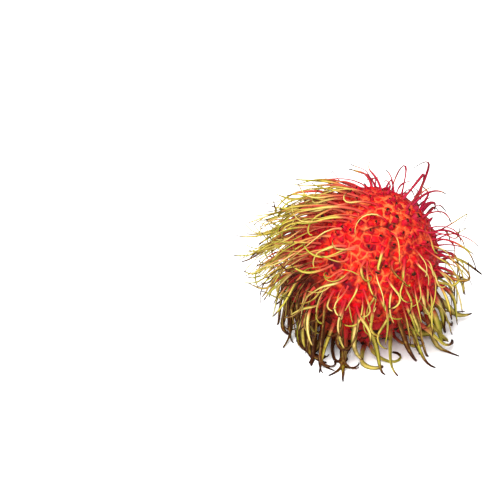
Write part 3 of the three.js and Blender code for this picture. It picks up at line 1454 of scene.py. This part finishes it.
@dataclass(frozen=True)
class SpineFinish:
    """The spines' colours, from the red foot to the dry tip, with painted shade along the narrow sides of
    each strand and a painted highlight along its middle.
    """

    red: Colour = srgb(161, 5, 31)
    crimson: Colour = srgb(144, 12, 46)
    salmon: Colour = srgb(186, 82, 60)
    yellow: Colour = srgb(206, 168, 86)
    green: Colour = srgb(138, 146, 34)
    # Pale straw of paler spines, laid along the middle of each strand as a painted highlight
    pale: Colour = srgb(224, 196, 140)
    olive: Colour = srgb(86, 76, 8)
    # Dark painted shade along the narrow sides of each strand
    edge_shade_colour: Colour = srgb(64, 36, 4)
    rust: Colour = srgb(124, 56, 8)
    brown: Colour = srgb(60, 27, 4)
    dark: Colour = srgb(31, 10, 7)

    # How large the noises are, and where the brown patches start to show and are full
    mottle_size: float = 1.4 * MM
    patch_size: float = 2.2 * MM
    patch_shows: Span = (0.53, 0.64)

    # How much of the green each share brings
    green_along: float = 0.8
    green_by_olive: float = 0.3
    green_by_tone: Span = (0.3, 1.0)
    # How much green the narrow sides of a strand get, as part of their painted shade
    green_edge: float = 0.5

    # At which values of its share a coat starts to show and is full
    # The pale coat shows on paler spines and only along a strand's middle, as a painted highlight
    pale_shows: Span = (0.45, 0.05)
    pale_cover: float = 0.5
    salmon_shows: Span = (0.05, 0.5)
    red_shows: Span = (0.45, 0.95)
    crimson_shows: Span = (0.2, 0.7)
    rust_shows: Span = (0.1, 0.5)
    brown_shows: Span = (0.22, 0.75)
    dark_shows: Span = (0.55, 1.0)

    # How strong a coat is where another share is 0, and where it is 1
    drying_by_mottle: Span = (0.5, 2.3)
    olive_by_mottle: Span = (-0.1, 1.4)
    # The olive and brown coats grow stronger towards the narrow sides of a strand, as part of their
    # painted shade
    olive_by_edge: Span = (0.5, 1.0)
    patch_by_olive: Span = (0.1, 0.9)
    edge_shade_by_olive: Span = (0.4, 0.9)
    rust_by_patch: Span = (0.35, 0.85)
    brown_by_edge: Span = (0.75, 1.5)
    dark_by_mottle: Span = (-0.15, 0.15)

    # The surface, and how much rougher it is where it is mottled or withered
    specular: float = 0.08
    roughness: float = 0.45
    mottle_roughness: float = 0.15
    wither_roughness: float = 0.2
    grain_size: float = 0.35 * MM
    grain_depth: float = 0.08 * MM
    grain_strength: float = 0.5

    def material(self) -> bpy.types.Material:
        """Builds the spines' material.

        Returns:
            The material.
        """
        recipe = Recipe("spine")
        along, edge_shade = recipe.attribute("along"), recipe.attribute("edge_shade")
        flush, wither = recipe.attribute("flush"), recipe.attribute("wither")
        olive, tone = recipe.attribute("olive"), recipe.attribute("tone")
        crimson = recipe.attribute("crimson")
        mottle = recipe.noise(self.mottle_size, detail=3.0)
        patches = recipe.noise(self.patch_size, detail=3.0, roughness=0.6).ramp(*self.patch_shows)
        # Towards the narrow sides of a strand it turns greener, more olive and browner: painted shade
        greener = (along * self.green_along + mottle - 0.5 + olive * self.green_by_olive).clamp()
        greener = greener * tone.between(*self.green_by_tone) + edge_shade * self.green_edge
        drying = wither * mottle.between(*self.drying_by_mottle)
        olive_coat = olive * mottle.between(*self.olive_by_mottle) * edge_shade.between(*self.olive_by_edge)
        colour = recipe.painted(
            self.yellow,
            (greener, self.green),
            # Pale along the middle of paler spines: a painted highlight
            (tone.ramp(*self.pale_shows) * (1 - edge_shade) * self.pale_cover, self.pale),
            (flush.ramp(*self.salmon_shows), self.salmon),
            (flush.ramp(*self.red_shows), self.red),
            (flush.ramp(*self.crimson_shows) * crimson, self.crimson),
            (olive_coat, self.olive),
            (patches * olive.between(*self.patch_by_olive), self.brown),
            # Painted shade along the narrow sides of each strand
            (edge_shade * olive.between(*self.edge_shade_by_olive), self.edge_shade_colour),
            (drying.ramp(*self.rust_shows) * patches.between(*self.rust_by_patch), self.rust),
            ((drying * edge_shade.between(*self.brown_by_edge)).ramp(*self.brown_shows), self.brown),
            ((wither + mottle.between(*self.dark_by_mottle)).ramp(*self.dark_shows), self.dark),
        )
        roughness = self.roughness + mottle * self.mottle_roughness + wither * self.wither_roughness
        recipe.set(Base_Color=colour, Roughness=roughness, Specular_IOR_Level=self.specular)
        recipe.bump(recipe.noise(self.grain_size), self.grain_depth, self.grain_strength)
        return recipe.material


@dataclass(frozen=True)
class Colouring:
    """How far the red runs up each spine, and how green, dry and dark it is."""

    # The parts of the fruit, by how far the rind faces a way: not at all, and wholly
    under: Span = (-0.1, 0.6)
    swept_left: Span = (-0.3, 0.6)
    swept_up: Span = (-0.2, 0.3)
    exposed_up: Span = (-0.1, 0.5)
    # The lower left flank, where the spines are drier, browner and darker, partly as painted shade
    browned_and_shaded_way: Way = (-0.82, -0.42, -0.4)
    browned_and_shaded: Span = (0.6, 0.95)

    # How far up the red runs, as a share of the length, and how pale it is on the swept side
    flush: float = 0.12
    own_flush: float = 0.2
    swept_flush: float = 0.26
    exposed_flush: float = 0.6
    stub_flush: float = 1.5
    flush_fades: Span = (0.35, 1.6)
    swept_paleness: float = 0.25
    own_paleness: float = 0.35

    # How much of the tip is dry, and which spines are dry all along
    dry_tip: float = 0.04
    own_dry_tip: float = 0.32
    low_dry_tip: float = 0.3
    exposed_dry_tip: float = 0.15
    dry_end: float = 1.02
    stub_dries: Span = (0.25, 0.8)
    dry: Span = (0.7, 1.2)
    low_dry: float = 0.2
    # Extra dryness on the lower left flank, which is partly painted shade
    browned_and_shaded_dry: float = 0.6
    dryness: float = 0.2
    own_dryness: float = 0.3
    dryness_along: float = 0.4

    # How dark the green is
    olive: float = 0.1
    low_olive: float = 0.9
    right_olive: float = -0.45
    least_olive: float = 0.2
    own_olive: float = 0.85

    def red(self, spine: Spine, shares: np.ndarray) -> np.ndarray:
        """How red one spine is.

        Args:
            spine: the spine.
            shares: rows of shares of its length.

        Returns:
            The redness at each share, from 0 to 1.
        """
        index, normal = spine.root.index, spine.root.normal
        if spine.kind is SpineKind.BROKEN:
            flushed, redness = self.stub_flush, 1.0
        else:
            swept = smooth_step(*self.swept_left, -normal[0]) * smooth_step(*self.swept_up, normal[2])
            flushed = self.flush + self.own_flush * draw(index, Draw.FLUSH)
            flushed += self.swept_flush * swept * draw(index, Draw.SWEPT_FLUSH)
            flushed += self.exposed_flush * far_side(normal) * smooth_step(*self.exposed_up, normal[2])
            redness = 1 - swept * (self.swept_paleness + self.own_paleness * draw(index, Draw.PINK))
        start, end = self.flush_fades
        return redness * (1 - smooth_step(start * flushed, end * flushed, shares))

    def withered(self, spine: Spine, shares: np.ndarray) -> np.ndarray:
        """How dry one spine is: at its tip, and some spines all along, more of them on the lower left
        flank, where the dryness is partly painted shade.

        Args:
            spine: the spine.
            shares: rows of shares of its length.

        Returns:
            The dryness at each share, from 0 to 1.
        """
        index, normal = spine.root.index, spine.root.normal
        if spine.kind is SpineKind.BROKEN:
            return smooth_step(*self.stub_dries, shares)
        low = smooth_step(*self.under, -normal[2])
        tip = self.dry_tip + self.own_dry_tip * draw(index, Draw.DRY_TIP) ** 2
        tip += self.low_dry_tip * low * draw(index, Draw.LOW_DRY_TIP)
        # Drier and darker on the lower left flank: partly dry spines, partly painted shade
        browned_and_shaded = smooth_step(*self.browned_and_shaded, normal @ unit(np.array(self.browned_and_shaded_way)))
        dry = draw(index, Draw.DRY) + self.low_dry * low + self.browned_and_shaded_dry * browned_and_shaded
        dryness = self.dryness + self.own_dryness * draw(index, Draw.DRYNESS)
        dryness = smooth_step(*self.dry, dry) * (dryness + self.dryness_along * shares)
        start = 1 - tip - self.exposed_dry_tip * far_side(normal)
        return np.maximum(smooth_step(start, self.dry_end, shares), dryness)

    def character(self, spine: Spine, shares: np.ndarray) -> dict[str, np.ndarray]:
        """What the material reads along one spine.

        Args:
            spine: the spine.
            shares: rows of shares of its length.

        Returns:
            The values by name.
        """
        index, normal = spine.root.index, spine.root.normal
        ones = np.ones_like(shares)
        low = smooth_step(*self.under, -normal[2])
        olive = (self.olive + self.low_olive * low) * (1 + self.right_olive * max(0.0, normal[0]))
        return {
            "along": shares,
            "flush": self.red(spine, shares),
            "wither": self.withered(spine, shares),
            "olive": ones * olive * (self.least_olive + self.own_olive * draw(index, Draw.OLIVE)),
            "tone": ones * draw(index, Draw.TONE),
            "crimson": ones * far_side(normal),
        }


@dataclass(frozen=True)
class Flare:
    """One ring of the knob at a spine's root: its height, and its share of the knob's extra radius."""

    height: float
    extra: float


@dataclass(frozen=True)
class Rings:
    """Where the strand's rings go on one spine: their middles, radii and shares of the length."""

    middles: np.ndarray
    radii: np.ndarray
    shares: np.ndarray


@dataclass
class Spines:
    """The spines, each a bent copy of one modelled strand."""

    coat: SpineCoat
    finish: SpineFinish = SpineFinish()
    colouring: Colouring = Colouring()
    sides: int = 4

    # The foot inside the rind, and the rings of the knob over it
    foot_radius: float = 1.75 * MM
    foot_depth: float = 1.3 * MM
    flare: tuple[Flare, ...] = (
        Flare(0.0, 0.5),
        Flare(0.6 * MM, 0.26),
        Flare(1.3 * MM, 0.08),
        Flare(2.2 * MM, 0.0),
    )
    flare_end: float = 0.24
    stub_flare: float = 3.2 * MM
    stub_thinning: float = 0.9

    # The other rings, by their shares of the length, and how far a spine is flattened and twisted
    stations: tuple[float, ...] = (0.26, 0.35, 0.44, 0.53, 0.61, 0.69, 0.77, 0.84, 0.91, 0.97)
    flatness: float = 0.28
    flat_from: int = 1
    flat_over: int = 3
    # The painted shade along the strand's sides starts past this ring
    edged_from: int = 3
    twist: float = 170.0

    # The room of each part in the flat layout
    margin: float = 0.06
    cap_room: float = 0.14
    cap_radius: float = 0.04

    def strand(self) -> bpy.types.Object:
        """The strand that every spine copies: upright, with its rings one unit apart, closed by a tip.

        Returns:
            The strand.
        """
        deselect()
        bpy.ops.mesh.primitive_circle_add(vertices=self.sides, radius=1, fill_type="NGON")
        piece = bpy.context.object
        bpy.ops.object.mode_set(mode="EDIT")
        bpy.ops.mesh.select_all(action="SELECT")
        for _ in range(1 + len(self.flare) + len(self.stations)):
            bpy.ops.mesh.extrude_region_move(TRANSFORM_OT_translate={"value": (0, 0, 1)})
        bpy.ops.mesh.merge(type="CENTER")
        bpy.ops.mesh.select_all(action="SELECT")
        bpy.ops.mesh.normals_make_consistent(inside=False)
        bpy.ops.object.mode_set(mode="OBJECT")
        return piece

    def rings(self, spine: Spine) -> Rings:
        """Where the strand's rings go on one spine: the first inside the rind, the next ones up its knob.

        Args:
            spine: the spine.

        Returns:
            The rings.
        """
        stub = spine.kind is SpineKind.BROKEN
        foot = self.foot_radius * spine.stout
        extra = foot - self.coat.radius(0.0, spine.stout)
        shares, radii = [0.0], [foot]
        for flare in self.flare:
            share = min(self.flare_end, flare.height / spine.length)
            if stub:
                share = flare.height / self.stub_flare
            shares.append(share)
            radii.append(self.coat.radius(share, spine.stout) + extra * flare.extra)
        for share in self.stations:
            shares.append(share)
            radii.append(self.coat.radius(share, spine.stout) * (self.stub_thinning if stub else 1.0))
        shares, radii = np.array([*shares, 1.0]), np.array([*radii, 0.0])
        steps = np.linspace(0, 1, len(spine.points))
        middles = np.stack([np.interp(shares, steps, spine.points[:, way]) for way in range(3)], -1)
        middles[0] = spine.root.at - spine.root.normal * self.foot_depth
        return Rings(middles, radii, shares)

    def bent(self, upright: np.ndarray, spine: Spine) -> np.ndarray:
        """The strand's vertices bent along one spine.

        Args:
            upright: the strand's vertices.
            spine: the spine.

        Returns:
            One row for each vertex.
        """
        rings = self.rings(spine)
        ways = unit(np.gradient(rings.middles, axis=0))
        across = spine.root.side
        rights = []
        for way in ways:
            across = unit(across - way * (across @ way))
            rights.append(across)
        rights = np.array(rights)
        ups = np.cross(ways, rights)
        index = spine.root.index
        twist = rings.shares * math.radians(self.twist) * spread(index, Draw.TWIST)
        twist = (twist + math.pi * draw(index, Draw.FIRST_TURN))[:, None]
        cosine, sine = np.cos(twist), np.sin(twist)
        rights, ups = rights * cosine + ups * sine, ups * cosine - rights * sine
        past = np.arange(len(rings.radii)) - self.flat_from
        flat = 1 + self.flatness * np.clip(past, 0, self.flat_over) / self.flat_over
        wide, thick = rings.radii * flat, rings.radii / flat
        ring = np.rint(upright[:, 2]).astype(int)
        sideways = rights[ring] * (upright[:, 0] * wide[ring])[:, None]
        return rings.middles[ring] + sideways + ups[ring] * (upright[:, 1] * thick[ring])[:, None]

    def strip(self, faces: list[tuple[int, ...]], upright: np.ndarray) -> np.ndarray:
        """The strand laid out flat for the bake, with its foot in a place of its own below it.

        Args:
            faces: the strand's faces, by the numbers of their vertices.
            upright: the strand's vertices.

        Returns:
            A row of u and v, each from 0 to 1, for each corner of its faces.
        """
        corners = []
        for face in faces:
            places = upright[list(face)]
            angle = np.arctan2(places[:, 1], places[:, 0])
            up = places[:, 2] / upright[:, 2].max()
            if places[:, 2].max() < 0.5:  # the foot's one face
                rim = np.stack([np.cos(angle), np.sin(angle)], -1)
                corners.append([0.5, self.margin] + self.cap_radius * rim)
                continue
            across = (angle / (2 * math.pi)) % 1
            tip = up > 1 - 1e-6
            if np.ptp(across[~tip]) > 0.5:  # a face that crosses the seam
                across = np.where(across < 0.5, across + 1, across)
            across[tip] = across[~tip].mean()
            u = self.margin + (1 - 2 * self.margin) * across
            corners.append(np.stack([u, self.cap_room + (1 - self.cap_room - self.margin) * up], -1))
        return np.concatenate(corners)

    def build(self) -> bpy.types.Object:
        """Builds and dresses the spines.

        Returns:
            The spines.
        """
        strand = self.strand()
        upright = read_points(strand)
        # An extrusion gives the faces in any order, and sorting them makes each run the same
        faces = sorted(tuple(face.vertices) for face in strand.data.polygons)
        strip = self.strip(faces, upright)
        bpy.data.objects.remove(strand)
        spines = self.coat.spines
        points = np.concatenate([self.bent(upright, spine) for spine in spines])
        points[:, 2] = np.maximum(points[:, 2], LIFT)
        starts = range(0, len(points), len(upright))
        copies = [tuple(start + corner for corner in face) for start in starts for face in faces]
        mesh = bpy.data.meshes.new("spines")
        mesh.from_pydata(points.tolist(), [], copies)
        piece = bpy.data.objects.new("spines", mesh)
        bpy.context.scene.collection.objects.link(piece)

        ring = np.rint(upright[:, 2]).astype(int)
        character = self.colouring.character
        characters = [character(spine, self.rings(spine).shares[ring]) for spine in spines]
        shares = {name: np.concatenate([one[name] for one in characters]) for name in characters[0]}
        # Painted shade along the two narrow sides of each strand, past its knob, with the painted
        # highlight along its middle
        edge_shade = np.cos(np.arctan2(upright[:, 1], upright[:, 0])) ** 2 * (ring > self.edged_from)
        write_shares(piece, shares | {"edge_shade": np.tile(edge_shade, len(spines))})

        rows = math.ceil(math.sqrt(len(spines)))
        cells = [(strip + [number % rows, number // rows]) / rows for number in range(len(spines))]
        layer = mesh.uv_layers.new(name="OFBake")
        layer.data.foreach_set("uv", np.concatenate(cells).astype(np.float32).ravel())
        return finished(piece, self.finish.material())


# The stalk's scar


@dataclass(frozen=True)
class ScarFinish:
    """The scar's dry cork."""

    cork: Colour = srgb(113, 82, 51)
    dark: Colour = srgb(55, 35, 22)
    grain_size: float = 0.7 * MM
    cork_shows: Span = (0.35, 0.65)
    grain_depth: float = 0.2 * MM
    grain_strength: float = 0.7
    roughness: float = 0.6
    grain_roughness: float = 0.3

    def material(self) -> bpy.types.Material:
        """Builds the scar's material.

        Returns:
            The material.
        """
        recipe = Recipe("stalk_scar")
        grain = recipe.noise(self.grain_size, detail=4.0)
        colour = recipe.painted(self.dark, (grain.ramp(*self.cork_shows), self.cork))
        recipe.set(Base_Color=colour, Roughness=self.roughness + grain * self.grain_roughness)
        recipe.bump(grain, self.grain_depth, self.grain_strength)
        return recipe.material


@dataclass
class StalkScar:
    """The dry round scar that the stalk left at the stem end: a raised rim round a sunk core."""

    fruit: Fruit
    finish: ScarFinish = ScarFinish()
    sides: int = 24
    radius: float = 2.6 * MM
    rise: float = 0.9 * MM
    rim_width: float = 0.7 * MM
    core_depth: float = 0.35 * MM
    core_lip: float = 0.5 * MM

    def build(self) -> bpy.types.Object:
        """Builds and dresses the scar.

        Returns:
            The scar.
        """
        deselect()
        bpy.ops.mesh.primitive_cylinder_add(vertices=self.sides, radius=self.radius, depth=2 * self.rise)
        piece = bpy.context.object
        piece.name = piece.data.name = "stalk_scar"
        bpy.ops.object.mode_set(mode="EDIT")
        bpy.ops.mesh.select_all(action="DESELECT")
        bpy.ops.object.mode_set(mode="OBJECT")
        for face in piece.data.polygons:  # only the end face, which looks straight down
            face.select = face.normal.z < -0.9
        bpy.ops.object.mode_set(mode="EDIT")
        bpy.ops.mesh.inset(thickness=self.rim_width)
        bpy.ops.transform.translate(value=(0, 0, self.core_depth))
        bpy.ops.mesh.inset(thickness=self.core_lip)
        bpy.ops.object.mode_set(mode="OBJECT")
        turn = Matrix(self.fruit.turn.tolist()).to_4x4()
        piece.data.transform(Matrix.Translation(Vector(self.fruit.end(-1))) @ turn)
        return finished(piece, self.finish.material())


# The studio


@dataclass
class Studio:
    """A pale floor, a soft light overhead and the camera."""

    fruit: Fruit
    paint: Colour = (0.95, 0.95, 0.95)
    floor_roughness: float = 0.9
    floor_size: float = 6.0
    sky: float = 0.65
    lamp_place: Way = (-0.16, -0.38, 0.66)
    lamp_size: float = 0.7
    lamp_power: float = 16.5
    elevation: float = 30.0
    distance: float = 0.6
    picture_width: float = 142 * MM
    off_right: float = 32.7 * MM
    off_down: float = 3.4 * MM
    film_width: float = 36.0

    def floor(self) -> None:
        """The pale floor."""
        deselect()
        bpy.ops.mesh.primitive_plane_add(size=self.floor_size)
        piece = bpy.context.object
        piece.name = "floor"
        recipe = Recipe("floor")
        recipe.set(Base_Color=self.paint, Roughness=self.floor_roughness)
        piece.data.materials.append(recipe.material)

    def lamp(self) -> None:
        """The square soft light, which faces the fruit."""
        data = bpy.data.lights.new("overhead", "AREA")
        data.size = self.lamp_size
        data.energy = self.lamp_power
        lamp = bpy.data.objects.new("overhead", data)
        lamp.location = Vector(self.lamp_place)
        facing = Vector(self.fruit.centre) - lamp.location
        lamp.rotation_euler = facing.to_track_quat("-Z", "Y").to_euler()
        bpy.context.scene.collection.objects.link(lamp)

    def air(self) -> None:
        """The even light from all round."""
        world = bpy.data.worlds.new("studio")
        world.use_nodes = True
        background = world.node_tree.nodes["Background"]
        background.inputs["Color"].default_value = (1, 1, 1, 1)
        background.inputs["Strength"].default_value = self.sky
        bpy.context.scene.world = world

    def camera(self) -> None:
        """The camera, which looks down at the fruit and holds it right of the middle."""
        rise = math.radians(self.elevation)
        back = Vector((0, -math.cos(rise), math.sin(rise)))
        up = Vector((0, math.sin(rise), math.cos(rise)))
        target = Vector(self.fruit.centre) + Vector((-self.off_right, 0, 0)) + up * self.off_down
        data = bpy.data.cameras.new("camera")
        data.sensor_width = self.film_width
        data.lens = self.film_width * self.distance / self.picture_width
        camera = bpy.data.objects.new("camera", data)
        camera.location = target + back * self.distance
        camera.rotation_euler = (-back).to_track_quat("-Z", "Y").to_euler()
        bpy.context.scene.collection.objects.link(camera)
        bpy.context.scene.camera = camera

    def build(self) -> None:
        """Sets the studio up."""
        bpy.context.scene.view_settings.view_transform = "Standard"
        self.air()
        self.floor()
        self.lamp()
        self.camera()


def main() -> None:
    """Builds the fruit, then the studio round it."""
    logging.basicConfig(level=logging.INFO, format="%(message)s")
    fruit = Fruit()
    coat = SpineCoat(fruit)
    for maker in (Rind(coat), Spines(coat), StalkScar(fruit)):
        piece = maker.build()
        log.info("%s: %d faces", piece.name, len(piece.data.polygons))
    Studio(fruit).build()


if __name__ == "__main__":
    main()
